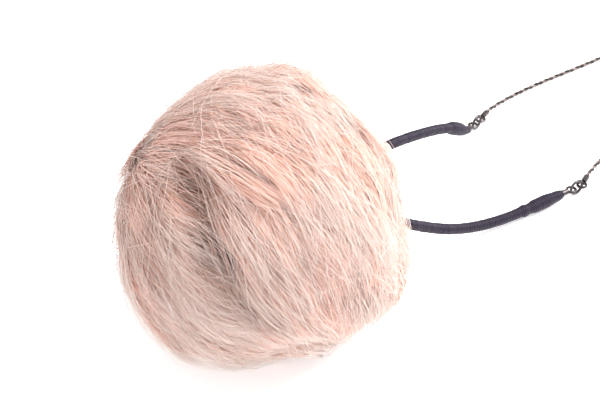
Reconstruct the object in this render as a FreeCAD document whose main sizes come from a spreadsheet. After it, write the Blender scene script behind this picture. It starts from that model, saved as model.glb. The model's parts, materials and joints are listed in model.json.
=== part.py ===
"""Neck-worn wireless lavalier microphone in a long-haired fur windshield, on a whipped neck cord.

World frame: the table is z = 0, the origin is under the centre of the fur ball, +X points along the
laid-out cord towards its nape clasp, +Y to the wearer's left and +Z up.  The microphone pod and its
windshield are drawn in a pod frame whose origin is the ball's centre and whose X axis is the pod's
axis; that frame is tipped nose-up, because the cord pulls the pod's tail down.  Millimetres.
"""
import FreeCAD, Part
import Sketcher
import math
import os
import re
from FreeCAD import Placement, Rotation, Vector

SIZES = {
    # fur ball and how it lies
    "fur_radius": 40.0, "core_height": 38.0, "pod_tilt": 22.0,
    "foam_radius": 22.0, "backing_inner": 22.3, "backing_outer": 23.3, "pile_inner": 23.4,
    "foam_bore": 11.2, "foam_rear": 18.2, "capsule_bore": 4.9, "capsule_bore_end": 18.4,
    "hem_radius": 13.0, "hem_thickness": 0.6, "hem_position": 18.6, "hem_cut": 13.7,
    "channel_start": 17.0, "channel_start_radius": 14.0, "channel_end_radius": 19.0, "channel_length": 26.0,
    # pod casing
    "pod_radius": 11.0, "pod_wall": 1.2, "pod_nose": 10.0, "pod_rear": 20.8, "nose_bevel": 1.5,
    "seam_half": 0.2, "gasket_half": 0.18, "gasket_width": 0.9, "neck_hole": 4.2,
    "groove_front": 19.0, "groove_rear": 20.0, "groove_radius": 10.3,
    "gasket_inset": 0.1, "gasket_corner": 0.4, "gasket_end": 1.0, "part_gap": 0.05,
    # casing screws and their bosses
    "front_screw": 6.3, "rear_screw": 11.8, "boss_radius": 1.9, "boss_reach": 10.4,
    "screw_radius": 0.8, "pilot_radius": 0.84, "clearance_radius": 0.95, "pilot_top": 7.2,
    "head_radius": 1.5, "head_thickness": 1.3, "head_seat": 8.8, "counterbore": 1.65, "screw_top": 6.6,
    # circuit board and what it carries
    "board_bottom": 1.0, "board_top": 2.0, "board_front": 8.2, "board_rear": 17.4, "board_half": 8.4,
    "boss_gap": 0.06, "board_hole": 1.05,
    "component_top": 1.0, "chip_side": 4.0, "chip_front": 1.6, "second_chip": 3.0, "chip_right": 4.5,
    "upper_chip": 0.4, "can_sheet": 0.3, "led_half": 0.5, "led_front": 2.0, "led_rear": 0.4, "led_thick": 0.8,
    "antenna_front": 0.4, "antenna_rear": 1.6, "antenna_end": 1.0, "antenna_left": 2.2, "antenna_thick": 1.2,
    "port_floor": 1.0, "blade_front": 0.5, "blade_setback": 0.6, "blade_side": 1.2, "blade_half": 0.35,
    "port_half": 4.47, "port_thick": 3.16, "port_front": 14.1, "port_rear": 21.4, "port_wall": 0.35,
    "switch_half": 2.2, "switch_front": 14.4, "switch_rear": 17.6, "switch_low": 4.3,
    "plunger_radius": 1.0, "plunger_hole": 1.05, "plunger_depth": 1.2, "plunger_reach": 0.6,
    "shield_front": 3.6, "shield_rear": 7.4, "shield_half": 5.2, "shield_thick": 1.9,
    "battery_front": 3.8, "battery_rear": 9.3, "battery_half": 6.4, "battery_low": 6.2, "battery_high": 1.0,
    "pad_thick": 0.7, "pad_half": 4.6, "pad_setback": 1.0, "cell_rounding": 1.0,
    # end cap, button and light
    "cap_front": 20.9, "cap_rear": 22.4, "spigot_front": 18.0, "spigot_inner": 8.6, "spigot_outer": 9.7,
    "tongue_front": 19.1, "tongue_rear": 19.9, "tongue_radius": 10.2,
    "port_height": 3.75, "port_slot_half": 4.75, "port_slot_thick": 1.85,
    "button_height": 2.6, "button_radius": 1.9, "button_hole": 2.0, "button_flange": 2.7,
    "button_tip": 23.0, "button_shoulder": 20.6, "button_tail": 18.25,
    "button_stem": 0.9, "button_bevel": 0.3, "flange_thick": 0.6,
    "lens_side": 6.4, "lens_height": 3.0, "lens_radius": 0.85, "lens_hole": 0.95,
    "lens_start": 0.6, "lens_proud": 0.15, "lens_collar": 0.5, "collar_depth": 1.0,
    # capsule, its boot and its grille: distances forward of the ball's centre, and radii
    "boot_front": 17.0, "boot_bore": 3.05, "boot_radius": 4.0, "boot_flange": 4.9, "boot_waist": 4.1,
    "outer_flange_front": 10.9, "outer_flange_rear": 10.1, "inner_flange_front": 8.7, "boot_rear": 8.35,
    "wire_bore": 1.2, "boot_seat": 13.8,
    "can_front": 16.6, "can_rear": 13.9, "can_radius": 3.0, "can_wall": 0.15, "sound_hole": 0.5,
    "disc_radius": 2.75, "diaphragm_front": 16.3, "diaphragm_rear": 16.2,
    "backplate_front": 16.0, "backplate_rear": 15.7, "backplate_radius": 2.4,
    "insulator_front": 15.6, "insulator_rear": 14.5, "insulator_bore": 1.9,
    "circuit_front": 14.4, "circuit_rear": 14.0, "mesh_front": 17.4, "mesh_rear": 17.1,
    "grille_front": 18.2, "grille_face": 17.5, "grille_rear": 11.2, "grille_radius": 4.7, "grille_bore": 4.1,
    "grille_bevel": 0.3, "grille_hole": 0.4, "grille_ring": 1.4,
    # lugs, pins and cord arms
    "pin_reach": 29.0, "pin_side": 9.0, "pin_radius": 0.8, "lug_hole": 0.83, "lug_radius": 1.5,
    "lug_low": 2.0, "lug_high": 3.2, "lug_root": 0.5, "pin_head": 1.2, "pin_head_thick": 0.55,
    "arm_eye_radius": 1.85, "arm_eye_bore": 0.86, "arm_eye_half": 1.7,
    "cord_core": 0.9, "core_setback": 1.2, "straight_end": 3.0, "whipping_inner": 0.95, "whipping_outer": 1.45,
    "whipping_start": 3.2, "whipping_end": 1.4,
    # rings, ropes and clasp
    "ring_radius": 2.2, "ring_wire": 0.4, "eye_radius": 1.35, "eye_wire": 0.42, "ring_height": 2.7,
    "rope_radius": 0.62, "rope_bore": 0.72, "rope_depth": 1.0,
    "ferrule_radius": 0.95, "ferrule_length": 3.4, "bend_gap": 0.8,
    "clasp_radius": 2.55, "clasp_length": 7.0, "clasp_gap": 0.1, "clasp_reach": 232.0,
    "clasp_rounding": 0.9, "clasp_lift": 0.15, "magnet_radius": 2.0, "magnet_length": 2.0,
    "magnet_play": 0.03, "magnet_bed": 0.1, "entry_play": 0.3,
}

doc = FreeCAD.newDocument("PendantMicrophone")
sheet = doc.addObject("Spreadsheet::Sheet", "Sizes")
for row, (alias, value) in enumerate(SIZES.items(), start=1):
    sheet.set(f"A{row}", alias)
    sheet.set(f"B{row}", str(value))
    sheet.setAlias(f"B{row}", alias)
doc.recompute()

pieces = []


def size(alias):
    """A driving dimension, read back from the sheet."""
    return float(sheet.get(alias))


def cells(expression):
    """The expression with every name in it pointing at the sheet."""
    return re.sub(r"[a-z_][a-z_0-9]*", r"Sizes.\g<0>", expression)


def bind(target, **expressions):
    """Tie properties to the sheet; a double underscore stands for a dot."""
    for name, expression in expressions.items():
        target.setExpression(name.replace("__", "."), cells(expression))
    return target


def pod_frame():
    return Placement(Vector(0, 0, size("core_height")), Rotation(Vector(0, 1, 0), size("pod_tilt")))


def in_pod(piece, label):
    """Finish a piece drawn in the pod frame: label it and tip it with the pod."""
    piece.Label = label
    piece.Placement = pod_frame()
    pieces.append(piece)
    return piece


def in_world(piece, label):
    piece.Label = label
    pieces.append(piece)
    return piece


# ---- solids from primitives, in the pod frame -------------------------------------------------

def cylinder_x(name, radius, front, rear, y="0", z="0"):
    """A cylinder along X, from x = front to x = rear."""
    rod = doc.addObject("Part::Cylinder", name)
    rod.Placement = Placement(Vector(0, 0, 0), Rotation(Vector(0, 1, 0), 90))
    return bind(rod, Radius=radius, Height=f"({rear}) - ({front})",
                Placement__Base__x=front, Placement__Base__y=y, Placement__Base__z=z)


def cylinder_z(name, radius, low, high, x="0", y="0"):
    rod = doc.addObject("Part::Cylinder", name)
    return bind(rod, Radius=radius, Height=f"({high}) - ({low})",
                Placement__Base__x=x, Placement__Base__y=y, Placement__Base__z=low)


def block(name, front, rear, right, left, low, high):
    box = doc.addObject("Part::Box", name)
    return bind(box, Length=f"({rear}) - ({front})", Width=f"({left}) - ({right})",
                Height=f"({high}) - ({low})", Placement__Base__x=front,
                Placement__Base__y=right, Placement__Base__z=low)


def ball(name, radius):
    return bind(doc.addObject("Part::Sphere", name), Radius=radius)


def cut(name, base, *tools):
    for number, tool in enumerate(tools):
        step = doc.addObject("Part::Cut", name if number == len(tools) - 1 else f"{name}_step{number}")
        step.Base = base
        step.Tool = tool
        base = step
    return base


def group(name, *solids):
    """Separate identical solids kept as one node."""
    compound = doc.addObject("Part::Compound", name)
    compound.Links = list(solids)
    return compound


def fuse(name, *solids):
    joined = doc.addObject("Part::MultiFuse", name)
    joined.Shapes = list(solids)
    return joined


# ---- solids from sketches --------------------------------------------------------------------

def new_body(name):
    return doc.addObject("PartDesign::Body", name)


def sketch_on(body, role, name, offset="0"):
    """A sketch on one of the body's own origin planes, moved along that plane's normal."""
    sketch = body.newObject("Sketcher::SketchObject", name)
    plane = next(f for f in body.Origin.OriginFeatures if f.Role == role)
    sketch.AttachmentSupport = (plane, "")
    sketch.MapMode = "FlatFace"
    return bind(sketch, AttachmentOffset__Base__z=offset)


def fix_point(sketch, geometry, point, x, y):
    """Hold a sketch point at (x, y), both given as expressions of the sheet."""
    for kind, expression in (("DistanceX", x), ("DistanceY", y)):
        index = sketch.addConstraint(Sketcher.Constraint(kind, -1, 1, geometry, point, 1.0))
        sketch.setExpression(f"Constraints[{index}]", cells(expression))


def outline(sketch, corners):
    """A closed polygon; every corner is a pair of expressions, and the solver moves it there."""
    count = len(corners)
    around = [Vector(math.cos(math.tau * i / count), math.sin(math.tau * i / count), 0) for i in range(count)]
    for i in range(count):
        sketch.addGeometry(Part.LineSegment(around[i], around[(i + 1) % count]))
    for i in range(count):
        sketch.addConstraint(Sketcher.Constraint("Coincident", i, 2, (i + 1) % count, 1))
    for i, (x, y) in enumerate(corners):
        fix_point(sketch, i, 1, x, y)


def rectangle(sketch, x0, y0, x1, y1):
    outline(sketch, [(x0, y0), (x1, y0), (x1, y1), (x0, y1)])


def circle(sketch, radius, x="0", y="0"):
    index = sketch.addGeometry(Part.Circle(Vector(0, 0, 0), Vector(0, 0, 1), 1.0))
    turn = sketch.addConstraint(Sketcher.Constraint("Radius", index, 1.0))
    sketch.setExpression(f"Constraints[{turn}]", cells(radius))
    fix_point(sketch, index, 3, x, y)


def revolve(body, sketch, name, degrees=360.0, reverse=False):
    turned = body.newObject("PartDesign::Revolution", name)
    turned.Profile = sketch
    turned.ReferenceAxis = (sketch, ["H_Axis"])
    turned.Angle = degrees
    turned.Reversed = reverse
    return turned


def pad(body, sketch, name, length, reverse=False):
    raised = body.newObject("PartDesign::Pad", name)
    raised.Profile = sketch
    raised.Reversed = reverse
    return bind(raised, Length=length)


def pocket(body, sketch, name, length, reverse=False):
    sunk = body.newObject("PartDesign::Pocket", name)
    sunk.Profile = sketch
    sunk.Reversed = reverse
    return bind(sunk, Length=length)


# ---- the pod's casing ------------------------------------------------------------------------

def half_shell(label, upper):
    """One half of the turned pod casing, with its screw bosses."""
    body = new_body(label)
    profile = sketch_on(body, "XY_Plane", label + "_profile")
    inner = "pod_radius - pod_wall"
    outline(profile, [
        ("-pod_nose", "neck_hole"), ("-pod_nose", "pod_radius - nose_bevel"),
        ("nose_bevel - pod_nose", "pod_radius"), ("pod_rear", "pod_radius"), ("pod_rear", inner),
        ("groove_rear", inner), ("groove_rear", "groove_radius"), ("groove_front", "groove_radius"),
        ("groove_front", inner), ("pod_wall - pod_nose", inner), ("pod_wall - pod_nose", "neck_hole")])
    revolve(body, profile, label + "_wall", 180.0, reverse=not upper)
    seam = sketch_on(body, "XY_Plane", label + "_seam")
    rectangle(seam, "-2 * pod_nose", "-2 * pod_radius", "2 * pod_rear", "2 * pod_radius")
    pocket(body, seam, label + "_seam_cut", "seam_half", reverse=upper)
    start = "board_top + boss_gap" if upper else "board_bottom - boss_gap"
    bosses = sketch_on(body, "XY_Plane", label + "_bosses", start)
    circle(bosses, "boss_radius", "-front_screw")
    circle(bosses, "boss_radius", "rear_screw")
    reach = "boss_reach - board_top - boss_gap" if upper else "boss_reach + board_bottom - boss_gap"
    pad(body, bosses, label + "_boss_pads", reach, reverse=not upper)
    holes = sketch_on(body, "XY_Plane", label + "_holes", start)
    bore = "pilot_radius" if upper else "clearance_radius"
    circle(holes, bore, "-front_screw")
    circle(holes, bore, "rear_screw")
    depth = "pilot_top - board_top - boss_gap" if upper else "2 * pod_radius"
    pocket(body, holes, label + "_hole_cut", depth, reverse=upper)
    if not upper:
        seats = sketch_on(body, "XY_Plane", label + "_seats", "-head_seat")
        circle(seats, "counterbore", "-front_screw")
        circle(seats, "counterbore", "rear_screw")
        pocket(body, seats, label + "_seat_cut", "pod_radius")
    return in_pod(body, label)


def end_cap():
    """Rear plate held in the shells' groove, with the port slot, button and light holes and four lugs."""
    body = new_body("end_cap")
    profile = sketch_on(body, "XY_Plane", "cap_profile")
    outline(profile, [
        ("cap_front", "0"), ("cap_front", "spigot_inner"), ("spigot_front", "spigot_inner"),
        ("spigot_front", "spigot_outer"), ("tongue_front", "spigot_outer"), ("tongue_front", "tongue_radius"),
        ("tongue_rear", "tongue_radius"), ("tongue_rear", "spigot_outer"), ("cap_front", "spigot_outer"),
        ("cap_front", "pod_radius"), ("cap_rear", "pod_radius"), ("cap_rear", "0")])
    revolve(body, profile, "cap_turned")
    lugs = [("lug_low", 1), ("lug_low", -1), ("-lug_high", 1), ("-lug_high", -1)]
    for number, (low, side) in enumerate(lugs):
        sign = "" if side > 0 else "-"
        arm = sketch_on(body, "XY_Plane", f"lug_arm_{number}", low)
        rectangle(arm, "cap_front + lug_root", f"{sign}(pin_side - lug_radius)",
                  "pin_reach", f"{sign}(pin_side + lug_radius)")
        pad(body, arm, f"lug_arm_pad_{number}", "lug_high - lug_low")
        end = sketch_on(body, "XY_Plane", f"lug_end_{number}", low)
        circle(end, "lug_radius", "pin_reach", f"{sign}pin_side")
        pad(body, end, f"lug_end_pad_{number}", "lug_high - lug_low")
    pins = sketch_on(body, "XY_Plane", "pin_holes", "2 * lug_high")
    circle(pins, "lug_hole", "pin_reach", "pin_side")
    circle(pins, "lug_hole", "pin_reach", "-pin_side")
    pocket(body, pins, "pin_hole_cut", "4 * lug_high")
    openings = sketch_on(body, "YZ_Plane", "openings", "2 * cap_rear")
    circle(openings, "button_hole", "0", "-button_height")
    circle(openings, "lens_hole", "lens_side", "lens_height")
    pocket(body, openings, "opening_cut", "3 * cap_rear")
    slot = sketch_on(body, "YZ_Plane", "port_slot", "2 * cap_rear")
    rectangle(slot, "-port_slot_half", "port_height - port_slot_thick", "port_slot_half",
              "port_height + port_slot_thick")
    pocket(body, slot, "port_slot_cut", "3 * cap_rear")
    return in_pod(body, "end_cap")


def shell_screws():
    screws = []
    for number, x in enumerate(["-front_screw", "rear_screw"]):
        shank = cylinder_z(f"screw_shank_{number}", "screw_radius", "-head_seat", "screw_top", x=x)
        head = cylinder_z(f"screw_head_{number}", "head_radius", "-head_seat - head_thickness",
                          "-head_seat", x=x)
        socket = cylinder_z(f"screw_socket_{number}", "head_radius / 2", "-head_seat - head_thickness",
                            "-head_seat - head_thickness / 2", x=x)
        screws.append(cut(f"screw_{number}", fuse(f"screw_body_{number}", shank, head), socket))
    return in_pod(group("shell_screws", *screws), "shell_screws")


def seam_gasket():
    """Two bevelled strips between the shells, parted at the nose where the capsule boot seals."""
    strips = []
    for name, sign in (("left", ""), ("right", "-")):
        body = new_body(f"gasket_{name}")
        plan = sketch_on(body, "XY_Plane", f"gasket_plan_{name}", "-gasket_half")
        corners = [
            ("gasket_inset - pod_nose", "neck_hole + gasket_end"),
            ("gasket_inset - pod_nose", "pod_radius - nose_bevel - gasket_inset"),
            ("nose_bevel - pod_nose + gasket_inset", "pod_radius - gasket_inset"),
            ("groove_front - gasket_end", "pod_radius - gasket_inset"),
            ("groove_front - gasket_end", "pod_radius - gasket_width"),
            ("nose_bevel - pod_nose + gasket_corner", "pod_radius - gasket_width"),
            ("gasket_width - pod_nose", "pod_radius - nose_bevel - gasket_corner"),
            ("gasket_width - pod_nose", "neck_hole + gasket_end")]
        outline(plan, [(x, f"{sign}({y})") for x, y in corners])
        pad(body, plan, f"gasket_pad_{name}", "2 * gasket_half")
        strips.append(body)
    return in_pod(group("seam_gasket", *strips), "seam_gasket")


# ---- electronics -----------------------------------------------------------------------------

def circuit_board():
    body = new_body("circuit_board")
    plan = sketch_on(body, "XY_Plane", "board_plan", "board_bottom")
    rectangle(plan, "-board_front", "-board_half", "board_rear", "board_half")
    pad(body, plan, "board_plate", "board_top - board_bottom")
    holes = sketch_on(body, "XY_Plane", "board_holes", "board_top")
    circle(holes, "board_hole", "-front_screw")
    circle(holes, "board_hole", "rear_screw")
    pocket(body, holes, "board_hole_cut", "2 * board_top")
    return in_pod(body, "circuit_board")


def battery():
    body = new_body("battery")
    plan = sketch_on(body, "XY_Plane", "battery_plan", "-battery_low")
    rectangle(plan, "-battery_front", "-battery_half", "battery_rear", "battery_half")
    cell = pad(body, plan, "battery_cell", "battery_low - battery_high")
    doc.recompute()
    rounded = body.newObject("PartDesign::Fillet", "battery_edges")
    rounded.Base = (cell, ["Face1", "Face3"])
    bind(rounded, Radius="cell_rounding")
    return in_pod(body, "battery")


def charging_port():
    """Receptacle with a hollow mouth and a central tongue."""
    low = "port_height - port_thick / 2"
    high = "port_height + port_thick / 2"
    shell = block("port_shell", "port_front", "port_rear", "-port_half", "port_half", low, high)
    mouth = block("port_mouth", "port_front + port_floor", "port_rear + port_floor",
                  "port_wall - port_half", "port_half - port_wall",
                  f"{low} + port_wall", f"{high} - port_wall")
    blade = block("port_blade", "port_front + blade_front", "port_rear - blade_setback",
                  "blade_side - port_half", "port_half - blade_side",
                  "port_height - blade_half", "port_height + blade_half")
    return in_pod(fuse("charging_port", cut("port_hollow", shell, mouth), blade), "charging_port")


def board_components():
    """What the circuit board carries: radio shield, chips, antenna strip, light, switch and battery pad."""
    foot = "board_top + part_gap"
    shield = block("radio_shield_block", "-shield_front", "shield_rear", "-shield_half", "shield_half",
                   foot, "board_top + shield_thick")
    hollow = block("radio_shield_inside", "can_sheet - shield_front", "shield_rear - can_sheet",
                   "can_sheet - shield_half", "shield_half - can_sheet",
                  "0", "board_top + shield_thick - can_sheet")
    in_pod(cut("radio_shield_can", shield, hollow), "radio_shield")
    corners = [("-chip_front", "-chip_right"), ("second_chip", "-chip_right"), ("-chip_front", "upper_chip")]
    chips = [block(f"chip_{number}", front, f"{front} + chip_side", right, f"{right} + chip_side",
                   foot, "board_top + component_top") for number, (front, right) in enumerate(corners)]
    in_pod(group("signal_chips", *chips), "signal_chips")
    strip = block("antenna_strip", "antenna_front - board_front", "antenna_rear - board_front",
                  "antenna_end - board_half", "-antenna_left", foot, "board_top + antenna_thick")
    in_pod(group("antenna", strip), "antenna")
    side_switch()
    led = block("led_chip", "board_rear - led_front", "board_rear - led_rear", "lens_side - led_half",
                "lens_side + led_half", foot, "board_top + led_thick")
    in_pod(group("status_led", led), "status_led")
    pipe = cylinder_x("lens_pipe", "lens_radius", "board_rear + lens_start", "cap_rear + lens_proud",
                      y="lens_side", z="lens_height")
    collar = cylinder_x("lens_collar_disc", "lens_radius + lens_collar", "cap_front - collar_depth",
                        "cap_front - part_gap", y="lens_side", z="lens_height")
    in_pod(fuse("status_lens", pipe, collar), "status_lens")
    cushion = block("battery_cushion", "pad_setback - battery_front", "battery_rear - pad_setback",
                    "-pad_half", "pad_half", "-battery_low - pad_thick", "-battery_low - part_gap")
    in_pod(group("battery_pad", cushion), "battery_pad")


def side_switch():
    """Switch case with a guide hole, and the plunger that the button's stem pushes into it."""
    case = block("switch_case", "switch_front", "switch_rear", "-switch_half", "switch_half",
                 "-switch_low", "board_bottom - part_gap")
    guide = cylinder_x("switch_guide", "plunger_hole", "switch_rear - plunger_depth",
                       "switch_rear + plunger_reach", z="-button_height")
    in_pod(cut("switch_hollow", case, guide), "tact_switch")
    rod = cylinder_x("plunger_rod", "plunger_radius", "switch_rear - plunger_depth / 2",
                     "switch_rear + plunger_reach", z="-button_height")
    in_pod(group("plunger_node", rod), "switch_plunger")


def power_button():
    """Turned button: cap through the end plate, flange behind it, stem towards the switch's plunger."""
    body = new_body("power_button")
    profile = sketch_on(body, "XY_Plane", "button_profile")
    outline(profile, [
        ("button_tail", "0"), ("button_tail", "button_stem"), ("button_shoulder - flange_thick", "button_stem"),
        ("button_shoulder - flange_thick", "button_flange"), ("button_shoulder", "button_flange"),
        ("button_shoulder", "button_radius"), ("button_tip - button_bevel", "button_radius"),
        ("button_tip", "button_radius - button_bevel"), ("button_tip", "0")])
    revolve(body, profile, "button_turned")
    piece = in_pod(body, "power_button")
    piece.Placement = pod_frame().multiply(Placement(Vector(0, 0, -size("button_height")), Rotation()))
    return piece


# ---- capsule ---------------------------------------------------------------------------------

def turned(label, corners):
    """A solid of revolution about the pod's axis."""
    body = new_body(label)
    profile = sketch_on(body, "XY_Plane", label + "_profile")
    outline(profile, corners)
    revolve(body, profile, label + "_turned")
    return in_pod(body, label)


def disc(label, front, rear, radius, bore="0"):
    """A turned disc or washer between two distances forward of the ball's centre."""
    turned(label, [(f"-{front}", bore), (f"-{front}", radius), (f"-{rear}", radius), (f"-{rear}", bore)])


def capsule():
    """Microphone capsule in its rubber boot, from the front mesh back to the wire hole."""
    turned("capsule_boot", [
        ("-boot_front", "boot_bore"), ("-boot_front", "boot_radius"), ("-outer_flange_front", "boot_radius"),
        ("-outer_flange_front", "boot_flange"), ("-outer_flange_rear", "boot_flange"),
        ("-outer_flange_rear", "boot_waist"), ("-inner_flange_front", "boot_waist"),
        ("-inner_flange_front", "boot_flange"), ("-boot_rear", "boot_flange"), ("-boot_rear", "wire_bore"),
        ("-boot_seat", "wire_bore"), ("-boot_seat", "boot_bore")])
    turned("capsule_can", [
        ("-can_front", "sound_hole"), ("-can_front", "can_radius"), ("-can_rear", "can_radius"),
        ("-can_rear", "can_radius - can_wall"), ("can_wall - can_front", "can_radius - can_wall"),
        ("can_wall - can_front", "sound_hole")])
    disc("capsule_diaphragm", "diaphragm_front", "diaphragm_rear", "disc_radius")
    disc("capsule_backplate", "backplate_front", "backplate_rear", "backplate_radius")
    disc("capsule_insulator", "insulator_front", "insulator_rear", "disc_radius", "insulator_bore")
    disc("capsule_circuit", "circuit_front", "circuit_rear", "disc_radius")
    disc("acoustic_mesh", "mesh_front", "mesh_rear", "boot_radius")
    grille_cap()


def grille_cap():
    """Cap over the boot's nose, pierced by a hole in the middle and two rings of holes round it."""
    body = new_body("grille_cap")
    profile = sketch_on(body, "XY_Plane", "grille_profile")
    outline(profile, [
        ("-grille_front", "0"), ("-grille_front", "grille_radius - grille_bevel"),
        ("grille_bevel - grille_front", "grille_radius"), ("-grille_rear", "grille_radius"),
        ("-grille_rear", "grille_bore"), ("-grille_face", "grille_bore"), ("-grille_face", "0")])
    revolve(body, profile, "grille_turned")
    holes = sketch_on(body, "YZ_Plane", "grille_holes", "-mesh_rear")
    circle(holes, "grille_hole")
    for ring, count in ((1, 6), (2, 12)):
        for number in range(count):
            angle = 360 * number / count
            circle(holes, "grille_hole", f"{ring} * grille_ring * {math.cos(math.radians(angle)):.4f}",
                   f"{ring} * grille_ring * {math.sin(math.radians(angle)):.4f}")
    pocket(body, holes, "grille_hole_cut", "grille_radius")
    return in_pod(body, "grille_cap")


# ---- windshield ------------------------------------------------------------------------------

def windshield():
    """Foam core, knitted backing, fur pile and hem elastic, all concentric with the ball."""
    core = ball("foam_ball", "foam_radius")
    bore = cylinder_x("foam_pod_bore", "foam_bore", "-pod_nose - 0.2", "foam_radius + 1")
    front = cylinder_x("foam_capsule_bore", "capsule_bore", "-capsule_bore_end", "0")
    rear = block("foam_rear_cut", "foam_rear", "2 * foam_radius", "-foam_radius", "foam_radius",
                 "-foam_radius", "foam_radius")
    in_pod(cut("foam_core", core, bore, front, rear), "foam_core")
    skin = cut("backing_shell", ball("backing_ball", "backing_outer"), ball("backing_void", "backing_inner"),
               cylinder_x("backing_mouth", "hem_cut", "0", "2 * backing_outer"))
    in_pod(skin, "fur_backing")
    elastic = new_body("hem_elastic")
    section = sketch_on(elastic, "XY_Plane", "hem_section")
    circle(section, "hem_thickness", "hem_position", "hem_radius")
    revolve(elastic, section, "hem_turned")
    in_pod(elastic, "hem_elastic")
    fur_pile()


def fur_pile():
    """The pile's full depth as one closed solid: a ball with the pod's mouth and a flat where it rests."""
    channel = doc.addObject("Part::Cone", "fur_channel")
    channel.Placement = Placement(Vector(0, 0, 0), Rotation(Vector(0, 1, 0), 90))
    bind(channel, Radius1="channel_start_radius", Radius2="channel_end_radius", Height="channel_length",
         Placement__Base__x="channel_start")
    outer = cut("fur_outer", ball("fur_ball", "fur_radius"), ball("fur_void", "pile_inner"), channel)
    outer.Placement = pod_frame()
    table = block("table_space", "-2 * fur_radius", "2 * fur_radius", "-2 * fur_radius", "2 * fur_radius",
                  "-2 * fur_radius", "0")
    return in_world(cut("fur_pile", outer, table), "fur_pile")


# ---- neck cord -------------------------------------------------------------------------------

def world_of(x, y, z):
    """A pod-frame point in the world."""
    return pod_frame().multVec(Vector(x, y, z))


def smooth(poles):
    """A smooth curve guided by its poles: it starts at the first, ends at the last and never overshoots."""
    curve = Part.BSplineCurve()
    curve.buildFromPoles(poles)
    return curve


def round_rod(curve, first, last, radius):
    """A round bar swept along part of a curve, between two of its parameters."""
    path = Part.Wire([curve.toShape(first, last)])
    start = curve.value(first)
    disc = Part.Wire([Part.makeCircle(radius, start, curve.tangent(first)[0])])
    sweep = Part.BRepOffsetAPI.MakePipeShell(path)
    sweep.setFrenetMode(False)
    sweep.add(disc)
    sweep.build()
    sweep.makeSolid()
    bar = sweep.shape()
    return bar if bar.Volume > 0 else bar.reversed()


def round_tube(curve, first, last, outer, inner):
    """A round tube swept along part of a curve."""
    start = curve.value(first)
    heading = curve.tangent(first)[0]
    rims = [Part.Wire([Part.makeCircle(radius, start, heading)]) for radius in (outer, inner)]
    ring = Part.Face(rims[0]).cut(Part.Face(rims[1])).Faces[0]
    return Part.Wire([curve.toShape(first, last)]).makePipe(ring)


def fixed_shape(label, shape):
    """A piece whose bent shape no sketch or primitive gives."""
    piece = doc.addObject("Part::Feature", label)
    piece.Shape = shape
    piece.Placement = Placement()
    return in_world(piece, label)


def at_distance(curve, distance):
    """The curve's parameter a given length along it; a negative length counts from the far end."""
    if distance < 0:
        return curve.parameterAtDistance(distance, curve.LastParameter)
    return curve.parameterAtDistance(distance, curve.FirstParameter)


class Side:
    """Where one half of the neck cord runs: side is +1 for the wearer's left, -1 for the right."""

    def __init__(self, name, side, ring, droop, arm_heights, rope_points, bend_at):
        self.name = name
        self.side = side
        self.droop = droop
        self.pin = world_of(size("pin_reach"), side * size("pin_side"), 0)
        self.ring = Vector(ring[0], ring[1], size("ring_height"))
        along = Vector(self.ring.x - self.pin.x, self.ring.y - self.pin.y, 0)
        self.heading = along.normalize()
        reach = size("ring_radius")
        self.arm_eye = self.ring - self.heading * reach
        self.rope_eye = self.ring + self.heading * reach
        self.arm_heights = arm_heights
        self.rope_points = rope_points
        self.bend_at = bend_at

    def arm_curve(self):
        """From beside the pin, down to the table and up to the eye that holds the ring."""
        leave = Vector(self.heading.x, self.heading.y, -self.droop)
        first = self.pin + leave * size("core_setback")
        last = self.arm_eye - self.heading * size("eye_radius")
        before = last - self.heading * size("straight_end")
        middle = []
        for share, height in self.arm_heights:
            place = self.pin + (self.arm_eye - self.pin) * share
            middle.append(Vector(place.x, place.y, height))
        return smooth([first, *middle, before, last])

    def rope_curve(self):
        first = self.rope_eye + self.rope_start() * size("eye_radius")
        clasp = Vector(size("clasp_reach"),
                       self.side * (size("clasp_length") + size("clasp_gap") - size("rope_depth")),
                       size("clasp_radius") + size("clasp_lift"))
        middle = [Vector(x, y, z) for x, y, z in self.rope_points]
        after = first + self.rope_start() * size("straight_end")
        before = Vector(clasp.x, clasp.y + self.side * size("straight_end"), clasp.z)
        return smooth([first, after, *middle, before, clasp])

    def rope_start(self):
        x, y, z = self.rope_points[0]
        return Vector(x - self.rope_eye.x, y - self.rope_eye.y, 0).normalize()


def cord_arm(side):
    """Wire core with an eye at each end, and the thread whipping round it."""
    curve = side.arm_curve()
    core = round_rod(curve, curve.FirstParameter, curve.LastParameter, size("cord_core"))
    upright = pod_frame().Rotation.multVec(Vector(0, 0, 1))
    foot = side.pin - upright * size("arm_eye_half")
    hub = Part.makeCylinder(size("arm_eye_radius"), 2 * size("arm_eye_half"), foot, upright)
    hub = hub.cut(Part.makeCylinder(size("arm_eye_bore"), 2 * size("arm_eye_half"), foot, upright))
    eye = Part.makeTorus(size("eye_radius"), size("eye_wire"), side.arm_eye, Vector(0, 0, 1))
    fixed_shape(f"{side.name}_arm_core", hub.fuse([core, eye]))
    begin = at_distance(curve, size("whipping_start"))
    finish = at_distance(curve, -size("whipping_end"))
    sleeve = round_tube(curve, begin, finish, size("whipping_outer"), size("whipping_inner"))
    fixed_shape(f"{side.name}_arm_whipping", sleeve)


def link_ring(side):
    """Jump ring standing in the vertical plane of its arm, through both eyes."""
    normal = Vector(-side.heading.y, side.heading.x, 0)
    ring = doc.addObject("Part::Torus", f"{side.name}_link_ring")
    bind(ring, Radius1="ring_radius", Radius2="ring_wire")
    ring.Placement = Placement(side.ring, Rotation(Vector(0, 0, 1), normal))
    in_world(ring, f"{side.name}_link_ring")


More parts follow.
